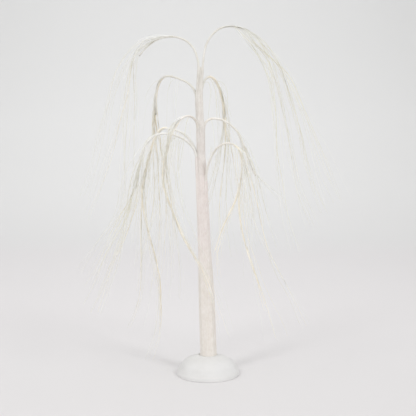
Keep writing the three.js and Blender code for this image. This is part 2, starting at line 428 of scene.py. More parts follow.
def wound_tape(surface, start, end, tape, seed):
    """A strip of tape wound up a surface in overlapping turns, as one closed solid.

    surface gives places from an angle, a distance along and a height off the surface. The lower
    edge of each turn lies on the turn before it, so it stands proud in a fine step.
    """
    rng = np.random.default_rng(seed)
    turns = (end - start + tape["width"]) / tape["pitch"]
    columns = int(turns * tape["columns"])
    index = np.arange(columns + 1)
    angle = index / tape["columns"] * TURN + rng.uniform(0, TURN)
    climb = start - tape["width"] / 2 + index / tape["columns"] * tape["pitch"]
    sways_at = np.arange(0, columns + 20, tape["columns"] / 3)
    sway = np.interp(index, sways_at, rng.normal(0, tape["pitch"] * TAPE_SWAY, len(sways_at)))
    share = np.linspace(0, 1, TAPE_ROWS)
    along = climb[:, None] + sway[:, None] + (share[None, :] - 0.5) * tape["width"]
    thick = tape["thickness"]
    lift = np.broadcast_to(thick * (2.0 - 1.55 * share), along.shape).copy()
    pucker = rng.normal(0, TAPE_PUCKER * thick, (columns + 1, TAPE_ROWS))
    lift += (pucker + np.roll(pucker, 1, axis=0) + np.roll(pucker, 2, axis=0)) / 2
    along = np.concatenate([along, along[:, ::-1][:, [0, -1]]], axis=1)
    under = np.full((columns + 1, 2), -0.5 * thick)
    lift = np.concatenate([lift, under], axis=1)
    along = np.clip(along, start, end)
    points = surface(np.broadcast_to(angle[:, None], along.shape), along, lift)
    return points, lofted(points)


# ---- Materials ----

class Finish:
    """A material being put together. Its patterns lie in the tree's own coordinates."""

    def __init__(self, name):
        self.material = bpy.data.materials.new(name)
        self.material.use_nodes = True
        self.tree = self.material.node_tree
        self.place = self.node("TexCoord").outputs["Object"]

    def feed(self, socket, value):
        """Sets a socket to a value, or links it to the socket that gives the value."""
        if isinstance(value, bpy.types.NodeSocket):
            self.tree.links.new(value, socket)
        else:
            socket.default_value = value

    def node(self, kind, inputs=(), **settings):
        """A new node, with its settings and with its inputs by name or by number."""
        added = self.tree.nodes.new(f"ShaderNode{kind}")
        for setting, value in settings.items():
            setattr(added, setting, value)
        for name, value in dict(inputs).items():
            self.feed(added.inputs[name], value)
        return added

    def shade(self, inputs):
        """Feeds the shader's inputs, and gives the material."""
        for name, value in inputs.items():
            self.feed(self.tree.nodes["Principled BSDF"].inputs[name], value)
        return self.material

    def axis(self, name):
        """How far along X, Y or Z a place is."""
        return self.node("SeparateXYZ", {"Vector": self.place}).outputs[name]

    def noise(self, scale, detail=3.0, stretch=(1, 1, 1), roughness=0.55):
        """Noise by place. scale is in waves a metre."""
        mapping = self.node("Mapping", {"Vector": self.place, "Scale": stretch})
        texture = self.node("TexNoise", {
            "Vector": mapping.outputs["Vector"], "Scale": scale, "Detail": detail,
            "Roughness": roughness})
        return texture.outputs["Fac"]

    def math(self, operation, *values):
        """A sum or a product of two or three values."""
        return self.node("Math", enumerate(values), operation=operation).outputs["Value"]

    def span(self, value, low=0.0, high=1.0, to_low=0.0, to_high=1.0):
        """A value moved from the range between low and high to another one, and kept inside it."""
        moved = self.node("MapRange", {
            "Value": value, "From Min": low, "From Max": high, "To Min": to_low, "To Max": to_high})
        return moved.outputs["Result"]

    def ramp(self, value, stops):
        """A colour from a value: stops are pairs of a position and a colour."""
        added = self.node("ValToRGB", {"Fac": value})
        elements = added.color_ramp.elements
        while len(elements) < len(stops):
            elements.new(0.5)
        for element, (position, colour) in zip(elements, stops):
            element.position = position
            element.color = (*colour, 1)
        return added.outputs["Color"]

    def mix(self, share, first, second, blend="MIX"):
        """One colour mixed with another, or multiplied by it."""
        inputs = {0: share, 6: first, 7: second}
        return self.node("Mix", inputs, data_type="RGBA", blend_type=blend).outputs[2]

    def bump(self, height, strength, distance, before=None):
        """A bump from a height, on top of another bump where there is one."""
        inputs = {"Height": height, "Strength": strength, "Distance": distance}
        if before is not None:
            inputs["Normal"] = before
        return self.node("Bump", inputs).outputs["Normal"]


def crepe_paper(paper, tint):
    """Finishes a tinted tape: fine creases across it, pulp and a dusty matt."""
    fleck = paper.noise(900, detail=5, stretch=(1, 1, 0.35), roughness=0.7)
    crease = paper.noise(2400, detail=2, stretch=(1, 1, 0.16))
    grain = paper.ramp(fleck, [(0.3, (0.93, 0.915, 0.90)), (0.55, (1, 1, 1))])
    return paper.shade({
        "Base Color": paper.mix(1.0, tint, grain, "MULTIPLY"),
        "Normal": paper.bump(fleck, 0.3, 0.15 * MM, before=paper.bump(crease, 0.45, 0.10 * MM)),
        "Roughness": paper.span(fleck, to_low=0.78, to_high=0.96),
        "Specular IOR Level": 0.25,
    })


# The wires' tapes: where each is darkest, as it mostly is, and where it is cleanest.
# The grey and cream tapes, on the inner and lower boughs, are paler than the olive partly as painted
# light against the shade under the upper arches; the cream's warm tint is the tape's own.
WIRE_COLOURS = {
    "olive": ((0.65, 0.63, 0.56), (0.73, 0.715, 0.66), (0.79, 0.78, 0.74)),
    "grey": ((0.74, 0.73, 0.68), (0.80, 0.79, 0.755), (0.85, 0.845, 0.82)),
    "cream": ((0.77, 0.73, 0.67), (0.83, 0.80, 0.75), (0.87, 0.85, 0.81)),
}
# The noise values at which a tape has those three colours.
WIRE_BLOTCHES = (0.34, 0.5, 0.68)


def wire_tape_material(name):
    """One of the crepe tapes on the wires, a little uneven in colour."""
    paper = Finish(f"wire_tape_{name}")
    blotch = paper.noise(110, detail=4, stretch=(1, 1, 0.6))
    return crepe_paper(paper, paper.ramp(blotch, list(zip(WIRE_BLOTCHES, WIRE_COLOURS[name]))))


# The trunk's tape by height: the colour of its clean paper and of its stained patches. It is
# cream low down, pinkish in the middle and greyer where the wires leave.
TRUNK_COLOURS = (
    (92 * MM, (0.818, 0.783, 0.740), (0.764, 0.720, 0.661)),
    (116 * MM, (0.881, 0.833, 0.804), (0.823, 0.759, 0.730)),
    (168 * MM, (0.881, 0.833, 0.804), (0.813, 0.745, 0.720)),
    (190 * MM, (0.804, 0.774, 0.746), (0.707, 0.665, 0.636)),
    (262 * MM, (0.746, 0.732, 0.688), (0.651, 0.631, 0.583)),
)
# By how much the heights at which the colours change wander.
TRUNK_WANDER = 30 * MM


def trunk_tape_material():
    """The crepe tape on the trunk, stained and rubbed in soft blotches."""
    paper = Finish("trunk_paper_tape")
    top = TRUNK_COLOURS[-1][0]
    height = paper.math("MULTIPLY_ADD", paper.noise(60, detail=2), TRUNK_WANDER, paper.axis("Z"))
    share = paper.span(height, low=TRUNK_WANDER / 2, high=TRUNK_WANDER / 2 + top)
    lighter = paper.ramp(share, [(at / top, light) for at, light, _ in TRUNK_COLOURS])
    stained = paper.ramp(share, [(at / top, dark) for at, _, dark in TRUNK_COLOURS])
    blotch = paper.noise(210, detail=5, stretch=(1, 1, 0.8), roughness=0.62)
    return crepe_paper(paper, paper.mix(paper.span(blotch, low=0.68, high=0.32), lighter, stained))


def fibre_material(name, colour, deep):
    """Combed plant fibre: a plain colour that deepens softly along each strand, with a low sheen."""
    fibre = Finish(name)
    grain = fibre.noise(5200, detail=2, stretch=(1, 1, 0.12))
    return fibre.shade({
        "Base Color": fibre.ramp(fibre.noise(160, detail=3), [(0.35, deep), (0.6, colour)]),
        "Normal": fibre.bump(grain, 0.3, 0.05 * MM),
        "Roughness": 0.55,
        "Specular IOR Level": 0.35,
        "Sheen Weight": 0.15,
        "Sheen Roughness": 0.5,
        "Subsurface Weight": 0.8,
        "Subsurface Radius": (1.0, 0.97, 0.9),
        "Subsurface Scale": 1.5 * MM,
    })


def stand_material():
    """White moulded composition: chalky, with fine pits and faint mould clouds. Its foot is
    painted paler: painted light against the shade on its lower sides.
    """
    white = Finish("moulded_white")
    cloud = white.noise(45, detail=5)
    # Painted light: the lowest few millimetres are paler, against the shade on the stand's lower
    # sides.
    foot = white.ramp(cloud, [(0.3, (0.74, 0.735, 0.725)), (0.75, (0.78, 0.78, 0.77))])
    above = white.ramp(cloud, [(0.3, (0.635, 0.63, 0.62)), (0.52, (0.67, 0.667, 0.658)),
                               (0.75, (0.695, 0.695, 0.69))])
    skin = white.bump(white.noise(700, detail=6, roughness=0.65), 0.25, 0.2 * MM)
    pits = white.node("TexVoronoi", {"Vector": white.place, "Scale": 420, "Randomness": 1.0})
    hole = white.span(pits.outputs["Distance"], high=0.13)
    return white.shade({
        "Base Color": white.mix(white.span(white.axis("Z"), high=7.5 * MM), foot, above),
        "Normal": white.bump(hole, 0.5, 0.18 * MM, before=skin),
        "Roughness": white.span(cloud, to_low=0.55, to_high=0.75),
        "Specular IOR Level": 0.4,
    })


def glue_material():
    """Dried clear-white glue with a soft shine. Its grey, darker than the stand's white, is
    painted shade where the trunk meets the stand.
    """
    glue = Finish("dried_glue")
    cloud = glue.noise(260, detail=3)
    return glue.shade({
        "Base Color": glue.ramp(cloud, [(0.35, (0.58, 0.57, 0.54)), (0.65, (0.68, 0.675, 0.65))]),
        "Normal": glue.bump(cloud, 0.3, 0.3 * MM),
        "Roughness": 0.35,
    })


def steel_material():
    """The cut end of a florist's wire, dull and slightly rusted."""
    steel = Finish("cut_steel")
    rust = steel.noise(3000, detail=3)
    return steel.shade({
        "Base Color": steel.ramp(rust, [(0.4, (0.24, 0.235, 0.22)), (0.65, (0.32, 0.27, 0.22))]),
        "Metallic": 0.7,
        "Roughness": 0.5,
    })


# ---- The stand ----

STAND_COLUMNS = 144
STAND_UNEVEN = 0.22 * MM
LIP_ROUND = 0.35 * MM
# Two radii or heights that differ by less than this are the same one.
SAME = 0.01 * MM
# The bead of glue round the trunk: how thick it is, and how many rows and columns of corners.
GLUE_BEAD = {"thickness": 0.5 * MM, "rows": 96, "columns": 12}


def stand_levels():
    """The frame's own outline of the stand: outer radius by height, from the lip up to the top."""
    corners, _ = merged_corners("stand")
    reach = np.hypot(corners[:, 0], corners[:, 1])
    outline = []
    for height in np.unique(np.round(corners[:, 2] / MM, 3)) * MM:
        level = np.abs(corners[:, 2] - height) < SAME
        outline.append((reach[level].max(), height))
    socket_within = trunk_radius(TRUNK_FOOT) * 1.4
    socket_floor = min(height for radius, height in outline if radius < socket_within)
    return [(radius, height) for radius, height in outline if abs(height - socket_floor) > SAME]


def make_stand(material, glue):
    """The moulded mound, its soft lip, and the bead of glue that holds the trunk."""
    levels = stand_levels()
    lip = max(radius for radius, _ in levels)
    top = max(height for _, height in levels)
    lip_top = max(height for radius, height in levels if radius > lip - SAME)
    above = [(radius, height) for radius, height in levels
             if radius < lip - SAME and height > 1.0 * MM]
    knots = np.array([(lip, lip_top)] + above)
    at = travelled(knots)
    slope = smooth_read(at, knots, np.linspace(0, at[-1], 56))
    corner = np.linspace(0, math.pi / 2, 7)
    foot = np.stack([lip - LIP_ROUND + LIP_ROUND * np.sin(corner),
                     LIP_ROUND - LIP_ROUND * np.cos(corner)], axis=1)
    socket = knots[-1, 0]
    inside = np.array([(socket, top - 0.5 * MM), (socket - 0.3 * MM, top - 4 * MM)])
    under = np.array([(lip * share, 0.0) for share in (0.02, 0.5, 0.9)])
    profile = np.concatenate([under, foot, slope, inside])
    points = turned(profile, STAND_COLUMNS)
    swell = wobble(points, 16 * MM, 3) * STAND_UNEVEN + wobble(points, 5 * MM, 4) * STAND_UNEVEN * 0.25
    free = smoothstep(points[:, :, 2] / (2 * MM))
    outward = unit(points * (1, 1, 0)) * 0.8 + np.array((0, 0, 0.6))
    points += outward * (swell * free)[..., None]
    body = new_piece("stand_mound", points, lofted(points), [material])
    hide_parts("stand")
    make_glue_bead(glue, top)


def make_glue_bead(glue, height):
    """An uneven bead of glue round the trunk where it enters the stand."""
    rows = GLUE_BEAD["rows"]
    columns = GLUE_BEAD["columns"]
    ring = evenly_round(rows)[:, None]
    around = evenly_round(columns)
    uneven = 0.35 * np.sin(3 * ring + 1) * np.sin(ring * 2 + 0.4) + 0.12 * np.sin(11 * ring)
    bead = GLUE_BEAD["thickness"] * (1 + uneven)
    centre = trunk_centre(height)
    reach = trunk_radius(height) + GLUE_BEAD["thickness"] + bead * np.cos(around) * 1.3
    points = np.stack([
        centre[0] + reach * np.cos(ring),
        centre[1] + reach * np.sin(ring),
        height - GLUE_BEAD["thickness"] / 2 + bead * np.sin(around) * 0.8,
    ], axis=-1)
    faces = grid_faces(rows + 1, columns) % (rows * columns)
    new_piece("stand_glue_bead", points, faces, [glue])


# ---- The trunk ----

TRUNK_CORE = {"rows": 300, "columns": 96}
# How sharply the wires' ridges stand out of the bundle.
RIDGE_SHARPNESS = 16


def even_azimuths(boughs):
    """Evenly spaced azimuths for the boughs' wires, in their own order, as near as can be."""
    order = sorted(boughs, key=lambda bough: bough.azimuth)
    step = TURN / len(order)
    first = np.mean([bough.azimuth - rank * step for rank, bough in enumerate(order)])
    return {bough.name: first + rank * step for rank, bough in enumerate(order)}


def taped_bundle(angle, height, boughs):
    """How far out the trunk's surface is, at angles and heights.

    Each wire that runs in the trunk there is a round ridge, and the tape sinks between the
    ridges onto the packing.
    """
    radius = trunk_radius(height)
    outline = radius * np.interp(height, *np.transpose(PACKING))
    settled_at = even_azimuths(boughs)
    for bough in boughs:
        below = bough.root[2] - height
        taped = bough.wire_radius + 0.12 * MM * smoothstep(below / (8 * MM))
        centre = radius + np.interp(-below, *np.transpose(bough.seat["under"]))
        settled = smoothstep((below - SETTLING[0]) / (SETTLING[1] - SETTLING[0]))
        azimuth = bough.azimuth + (settled_at[bough.name] - bough.azimuth) * settled
        apart = (angle - azimuth + math.pi) % TURN - math.pi
        chord = taped ** 2 - (centre * np.sin(apart)) ** 2
        ridge = centre * np.cos(apart) + np.sqrt(np.maximum(chord, 0))
        ridge = np.where((chord > 0) & (np.abs(apart) < TURN / 4), ridge, 0)
        ridge = ridge * smoothstep((below + 2 * MM) / (2 * MM))
        outline = (outline ** RIDGE_SHARPNESS + ridge ** RIDGE_SHARPNESS) ** (1 / RIDGE_SHARPNESS)
    return outline


def make_trunk(material, boughs):
    """The trunk: a core with the wires' lobes, and tape wound up it to the fork."""

    def surface(angle, height, lift):
        radius = taped_bundle(angle, height, boughs) + lift
        turn = np.stack([radius * np.cos(angle), radius * np.sin(angle), 0 * radius], axis=-1)
        return trunk_centre(height) + turn

    points, faces = wound_tape(surface, TRUNK_FOOT, TRUNK_TOP, TRUNK_TAPE, seed=5)
    tape = new_piece("trunk_tape", points, faces, [material], crisp=True)
    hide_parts("trunk")
    heights = np.linspace(TRUNK_FOOT, TRUNK_TOP, TRUNK_CORE["rows"])
    core = wound_core(surface, heights, TRUNK_CORE["columns"])
    piece = new_piece("trunk_core", core, lofted(core), [material])
    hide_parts("trunk")


# ---- The boughs ----

# How far a wire's uneven bends stray from the frame's line, and at how many places.
BENDS = {"size": 0.28 * MM, "count": 9}
# The last of the tape is drawn in round the wire, to this share of its radius.
DRAWN_IN = {"length": 0.3 * MM, "share": 0.85}
WIRE_CORE = {"step": 1.6 * MM, "columns": 10}


def make_bough(bough, material, steel, seed):
    """A bough: bent wire under wound tape, from inside the trunk's tape to a cut end."""
    rng = np.random.default_rng(seed)
    bend_at = np.linspace(0, bough.length, BENDS["count"])
    bends = rng.normal(0, BENDS["size"], (BENDS["count"], 2))
    bends *= smoothstep((bend_at - bough.root_at) / (20 * MM))[:, None]

    def surface(angle, at, lift):
        points, _, outer = bough.wire(at)
        bend = smooth_read(bend_at, bends, np.clip(at, 0, bough.length))
        points = points + bough.across * bend[..., :1] + outer * bend[..., 1:]
        radius = bough.radius(np.minimum(at, bough.wire_end)) + lift
        at_end = at > bough.wire_end - DRAWN_IN["length"]
        radius = radius * np.where(at_end, DRAWN_IN["share"], 1.0)
        return spun(points, bough.across, outer, radius, angle)

    points, faces = wound_tape(surface, 0.0, bough.wire_end, WIRE_TAPE, seed)
    stations = np.linspace(0, bough.wire_end, int(bough.wire_end / WIRE_CORE["step"]))
    core = wound_core(surface, stations, WIRE_CORE["columns"])
    core_faces = lofted(core, start=points.shape[0] * points.shape[1])
    joined = np.concatenate([points.reshape(-1, 3), core.reshape(-1, 3)])
    piece = new_piece(f"bough_{bough.name}_wound", joined, faces + core_faces, [material],
                      crisp=True)
    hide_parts(f"bough_{bough.name}_rise", f"bough_{bough.name}_fall")

    end, tangent, outer = bough.wire(bough.wire_end)
    ring = evenly_round(12)
    rows = np.array([
        spun(end + tangent * ahead, bough.across, outer, STEEL_RADIUS * share, ring)
        for ahead, share in ((-1.0 * MM, 1), (STEEL_SHOWS * 0.85, 1), (STEEL_SHOWS, 0.75))
    ])
    new_piece(f"bough_{bough.name}_cut_end", rows, lofted(rows), [steel])


# ---- The fibres ----

# The kinds of fibre that hang, and their radii.
FIBRE_RADII = {"gold": 0.18 * MM, "cream": 0.155 * MM, "pale": 0.14 * MM}
# Their tints and those of the bound fibre, each a colour and what it deepens to: two for the
# strands that hang free and, last, a paler one for the strands still close to the wire. That
# paler tint is painted light against the shade among the bunched strands there.
FIBRE_TINTS = {
    "bound": (((0.88, 0.82, 0.70), (0.84, 0.765, 0.63)),
              ((0.875, 0.825, 0.725), (0.84, 0.775, 0.665)),
              ((0.90, 0.85, 0.745), (0.865, 0.80, 0.685))),
    "gold": (((0.86, 0.77, 0.57), (0.80, 0.70, 0.48)),
             ((0.84, 0.765, 0.60), (0.79, 0.70, 0.52)),
             ((0.92, 0.86, 0.74), (0.89, 0.82, 0.68))),
    "cream": (((0.66, 0.64, 0.49), (0.60, 0.575, 0.42)),
              ((0.65, 0.615, 0.47), (0.59, 0.55, 0.40)),
              ((0.77, 0.75, 0.63), (0.72, 0.70, 0.57))),
    "pale": (((0.82, 0.81, 0.72), (0.74, 0.73, 0.63)),
             ((0.68, 0.67, 0.56), (0.62, 0.60, 0.49)),
             ((0.91, 0.91, 0.85), (0.87, 0.87, 0.80))),
}
# Which of the tints is the paler one, painted light near the wire.
PAINTED_LIGHT_TINT = 2
# A lock of more fibres than this is a bound one. The others are free.
MOST_FREE = 3
# How far after it leaves the wire a lock keeps its paler tint, painted light.
PAINTED_LIGHT_REACH = {"free": 20 * MM, "bound": 55 * MM}
# How far a lock lies along the wire before it leaves it, in millimetres, from least to most.
LIES_ALONG = {"free": (3, 9), "bound": (10, 22)}
# How far off the wire's tape it lies at first, in millimetres. In a binding it is sunk.
LIES_OFF = {"bare": 0.16, "binding": -0.05}
# How far a lock's fibres spread, and the least length of one as a share of the longest: in the
# golden lock or the plain one that leads a tress, in its small locks, and for its single fibres.
SPREADS = {"golden": (2.2 * MM, 0.8), "plain": (3.2 * MM, 0.6), "small": (3.8 * MM, 0.5),
           "single": (5 * MM, 0.6)}
# Golden locks leave the wire late: within this share of its fall before the last of the others.
GOLDEN_LEAVES = 0.15
# The share of a bough's wisps that is pale, and how long the longest ones are.
PALE_WISPS = 0.6
WISP_LENGTHS = {"pale": 100 * MM, "cream": 90 * MM}

# A fibre's section is a triangle, and this is how far apart its rings are.
FIBRE_SIDES = 3
FIBRE_STEP = 3.2 * MM

# The fibres bound round the outer half of a wire: how thick, in how many strands that twist by so
# many radians a metre, how uneven.
BINDING = {"thickness": 0.30 * MM, "flute": 0.08 * MM, "strands": 13, "twist": 60.0,
           "uneven": 0.10 * MM, "columns": 52, "step": 0.9 * MM}
# The heart of a golden lock: its radius, how far before the lock leaves the wire it starts, and
# the flutes round it.
HEART = {"radius": 0.74 * MM, "before": 5 * MM, "flute": 0.13, "strands": 7, "twist": 45.0,
         "columns": 28, "step": 1.5 * MM}

# The least half width and half depth that a tress fans out to, and how soon below its top.
FAN = {"across": 6.0 * MM, "deep": 3.2 * MM, "soon": 16 * MM}
# The radius of a lock of eight fibres.
LOCK_RADIUS = 0.62 * MM
# How a lock divides: into how many branches, after which share of its fall each one leaves the
# others, how gently it then bends away, and how far, in the lock's own spread. A fibre strays
# from its branch in the same way.
BRANCHES = {"count": 3, "leave": (0.15, 0.6), "bend": 1.4, "far": 2.2}
STRAYS = {"leave": (0.3, 0.95), "bend": 1.3, "far": (0.6, 2.6)}

# How locks, fibres and wisps sway and crimp: how far, in how long waves, and how far below the
# wire that has grown to its full size.
LOCK_SWAY = {"size": 0.72 * MM, "wave": 74 * MM, "grown": 50 * MM}
FIBRE_SWAY = {"size": 0.27 * MM, "wave": 51.8 * MM, "grown": 70 * MM}
FIBRE_CRIMP = {"size": 0.09 * MM, "wave": 11 * MM, "grown": 12 * MM}
WISP_SWAY = {"size": 0.405 * MM, "wave": 44.4 * MM, "grown": 15 * MM}
WISP_CRIMP = {"size": 0.072 * MM, "wave": 11 * MM, "grown": 15 * MM}
WISP_STATIONS = 30


class Strands:
    """Fibres of one kind being gathered for one piece."""

    def __init__(self, radius):
        self.radius = radius
        self.points = []
        self.faces = []
        self.shades = []
        self.count = 0

    def add(self, paths, across, shade, rng, lighter=None):
        """Adds fibres along paths, fibres by points by 3, each a thin closed tube.

        The last argument is how many of each fibre's points lie close to the wire, where the faces
        take the paler tint: painted light against the shade of the bunched strands.
        """
        fibres, stations = paths.shape[:2]
        _, side, outer = square_to(paths, across, axis=1)
        share = np.linspace(0, 1, stations)
        size = self.radius * rng.uniform(0.75, 1.25, (fibres, 1)) * (1 - 0.55 * share ** 2)
        twist = rng.uniform(0, TURN, (fibres, 1)) + share * rng.uniform(-9, 9, (fibres, 1))
        rings = np.stack([spun(paths, side, outer, size, twist + corner)
                          for corner in evenly_round(FIBRE_SIDES)], axis=2)
        body = grid_faces(stations, FIBRE_SIDES)
        offsets = self.count + np.arange(fibres) * stations * FIBRE_SIDES
        row = np.arange(len(body)) // FIBRE_SIDES
        lighter = np.zeros(fibres) if lighter is None else lighter
        for offset, painted_light_rows in zip(offsets, lighter):
            self.faces.extend((body + offset).tolist())
            self.faces.append([offset + 2, offset + 1, offset])
            last = offset + (stations - 1) * FIBRE_SIDES
            self.faces.append([last, last + 1, last + 2])
            self.shades.extend(np.where(row < painted_light_rows, PAINTED_LIGHT_TINT, shade).tolist())
            self.shades.extend([shade, shade])
        self.points.append(rings.reshape(-1, 3))
        self.count += fibres * stations * FIBRE_SIDES


def swayed(fallen, look, rng):
    """How far fibres sway, in two directions, by how far each has fallen at each place."""
    fallen = fallen[:, None]
    fibres = len(fallen)
    phase = rng.uniform(0, TURN, (fibres, 2, 1))
    rate = TURN / (look["wave"] * rng.uniform(0.75, 1.35, (fibres, 2, 1)))
    sway = look["size"] * (np.sin(fallen * rate + phase) - np.sin(phase))
    return sway * smoothstep(fallen / look["grown"])


def fluted(look, start, end):
    """Angles round and places along a fluted sleeve, and its flutes there, from -1 to 1."""
    along = np.linspace(start, end, int((end - start) / look["step"]))
    angles, stations = np.meshgrid(evenly_round(look["columns"]), along)
    return angles, stations, np.cos(look["strands"] * angles + look["twist"] * stations)


def bound_piece(name, places, materials, rng):
    """A closed sleeve of bound fibres: each column of faces has one of the first two tints."""
    rows, columns = places.shape[:2]
    tints = np.tile(rng.integers(0, 2, columns), rows - 1)
    caps = [0, 0]
    return new_piece(name, places, lofted(places), materials["bound"],
                     face_material=[*tints, *caps])


def make_binding(bough, materials, seed):
    """The sleeve of fibres bound tight round the outer half of a wire, fluted strand by strand."""
    if bough.dressing["binding"] is None:
        return
    after, before = bough.dressing["binding"]
    start = bough.crest_at + after
    end = bough.length - before
    angles, stations, flute = fluted(BINDING, start, end)
    opened = smoothstep((stations - start) / (9 * MM))
    closed = smoothstep((end - stations) / (8 * MM))
    where = np.stack([angles * MM, stations * 0.5, np.zeros(angles.shape)], axis=-1)
    uneven = wobble(where, 3 * MM, seed) * BINDING["uneven"]
    lift = (BINDING["thickness"] + BINDING["flute"] * flute + uneven) * opened
    radius = (bough.radius(stations) + 0.02 * MM + lift) * (0.35 + 0.65 * closed)
    points, _, outer = bough.wire(stations)
    places = spun(points, bough.across, outer, radius, angles)
    piece = bound_piece(f"binding_{bough.name}", places, materials, np.random.default_rng(seed))
    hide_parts(f"foliage_{bough.name}_sleeve")


def springing(start, heading, end, arriving):
    """Places along a smooth curve from one place and heading to another, without its ends."""
    share = np.array((0.2, 0.4, 0.6, 0.8))[:, None]
    handle = np.linalg.norm(end - start) * 0.38
    first = start + heading * handle
    second = end - arriving * handle
    return (start * (1 - share) ** 3 + first * 3 * share * (1 - share) ** 2
            + second * 3 * share ** 2 * (1 - share) + end * share ** 3)


def hanging_line(bough, tress, leave, place):
    """Where a lock hangs in its fanned-out tress, below where the wire lets it go."""
    centres, widths, depths = tress
    below_top = travelled(centres)
    opened = 1 - np.exp(-below_top / FAN["soon"])
    widths = np.maximum(widths, FAN["across"] * opened)
    depths = np.maximum(depths, FAN["deep"] * opened)
    _, side, outer = square_to(centres, bough.across)
    spots = centres + side * (widths * place[0])[:, None] + outer * (depths * place[1])[:, None]
    skip = (bough.length - leave) * 1.1 + 14 * MM
    hanging = spots[below_top > skip]
    return hanging if len(hanging) >= 4 else spots[-4:]


def lock_line(bough, tress, leave, place, rng, reach, hold):
    """One lock's line: along the wire to where it leaves, then down its tress to its foot.

    place is where in the tress's section the lock lies, from -1 to 1 across and in depth. hold
    is bound or free.
    """
    hanging = hanging_line(bough, tress, leave, place)
    back = rng.uniform(*LIES_ALONG[hold]) * MM
    on_wire = np.linspace(leave - back, leave, max(int(back / (5 * MM)), 3))
    points, heading, out = bough.wire(on_wire)
    rise = math.radians(rng.uniform(*bough.dressing["rise"]))
    turn = np.clip(place[0] * 1.1 + rng.normal(0, 0.3), -1.4, 1.4)
    if rise < 0:
        turn = math.copysign(rng.uniform(1.3, 1.9), turn)
    lift = LIES_OFF["binding" if bough.dressing["binding"] else "bare"]
    lift = np.linspace(lift, lift + rng.uniform(0.1, 0.6), len(points)) * MM
    points = spun(points, out, bough.across, bough.radius(on_wire) + lift, turn)
    sets_out = unit(heading[-1] * math.cos(rise) + out[-1] * math.sin(rise)
                    + bough.across * (place[0] * 0.15 + rng.normal(0, 0.06)))
    curve = springing(points[-1], sets_out, hanging[0], unit(hanging[1] - hanging[0]))
    tail = hanging[-1] + unit(hanging[-1] - hanging[-2]) * reach
    knots = np.concatenate([points, curve, hanging, tail[None]])
    knots_at = travelled(knots)
    return knots_at, knots, knots_at[len(points) - 1]


def straying(fallen, leaves, look, spread):
    """How far branches or fibres are from the rest, by the share of the lock's fall so far."""
    return np.clip(fallen - leaves, 0, None) ** look["bend"] * spread


def grow_lock(strands, bough, tress, fibres, sort, place, rng, leaves):
    """A lock of fibres that holds together, then divides into branches and single fibres."""
    shade = int(rng.integers(0, 2))
    spread, shortest = SPREADS[sort]
    hold = "bound" if fibres > MOST_FREE else "free"
    leave = bough.crest_at + (bough.length - bough.crest_at) * rng.uniform(*leaves)
    reach = rng.uniform(2, 9) * MM
    knots_at, knots, leaves_at = lock_line(bough, tress, leave, place, rng, reach, hold)
    full = knots_at[-1]
    ends = full * rng.uniform(shortest, 1.0, fibres)
    ends[0] = full
    starts = rng.uniform(0, min(18 * MM, leaves_at * 0.6), fibres)
    stations = max(int(full / FIBRE_STEP), 8)
    at = starts[:, None] + (ends - starts)[:, None] * np.linspace(0, 1, stations)
    line = smooth_read(knots_at, knots, at)
    _, side, outer = square_to(line, bough.across, axis=1)
    hung = np.clip(at - leaves_at, 0, None)
    fallen = hung / max(full - leaves_at, 1 * MM)

    count = BRANCHES["count"]
    branch = rng.integers(0, count, fibres)
    branch_turn = rng.uniform(0, TURN, count)[branch][:, None]
    branch_leaves = rng.uniform(*BRANCHES["leave"], count)[branch][:, None]
    branch_far = straying(fallen, branch_leaves, BRANCHES, spread) * BRANCHES["far"]
    own_turn = rng.uniform(0, TURN, (fibres, 1))
    own_leaves = rng.uniform(*STRAYS["leave"], (fibres, 1))
    own_far = straying(fallen, own_leaves, STRAYS, spread) * rng.uniform(*STRAYS["far"], (fibres, 1))
    packed = rng.uniform(0.1, 1, (fibres, 1)) ** 0.5 * LOCK_RADIUS * math.sqrt(fibres / 8)
    packed_turn = rng.uniform(0, TURN, (fibres, 1)) + hung / (60 * MM)
    lock_sway = swayed(hung[:1], LOCK_SWAY, rng)
    moved = lock_sway + swayed(hung, FIBRE_SWAY, rng) + swayed(hung, FIBRE_CRIMP, rng)
    sideways = moved[:, 0]
    inward = moved[:, 1]
    for far, turn in ((packed, packed_turn), (branch_far, branch_turn), (own_far, own_turn)):
        sideways = sideways + far * np.cos(turn)
        inward = inward + far * np.sin(turn)
    paths = line + side * sideways[..., None] + outer * inward[..., None]
    # Painted light: the rows still close to the wire take the paler tint.
    lighter = (hung < PAINTED_LIGHT_REACH[hold]).sum(axis=1)
    strands.add(paths, bough.across, shade, rng, lighter)
    centre = line[0] + side[0] * lock_sway[0, 0][:, None] + outer[0] * lock_sway[0, 1][:, None]
    return centre, at[0], leaves_at, full


def make_heart(name, centre, along, leaves_at, full, reach, across, materials, rng):
    """The tight heart of a golden lock: a fluted twist that thins out and ends inside its fibres."""
    start = leaves_at - HEART["before"]
    end = leaves_at + (full - leaves_at) * reach
    angles, stations, flute = fluted(HEART, start, end)
    middle = smooth_read(along, centre, stations[:, 0])
    _, side, outer = square_to(middle, across)
    share = (stations - start) / (end - start)
    opened = smoothstep((stations - start) / (2 * HEART["before"]))
    radius = HEART["radius"] * (1 - 0.72 * share ** 1.6) * (0.2 + 0.8 * opened)
    radius = radius * (1 + HEART["flute"] * flute)
    places = spun(middle[:, None], side[:, None], outer[:, None], radius, angles)
    return bound_piece(name, places, materials, rng)


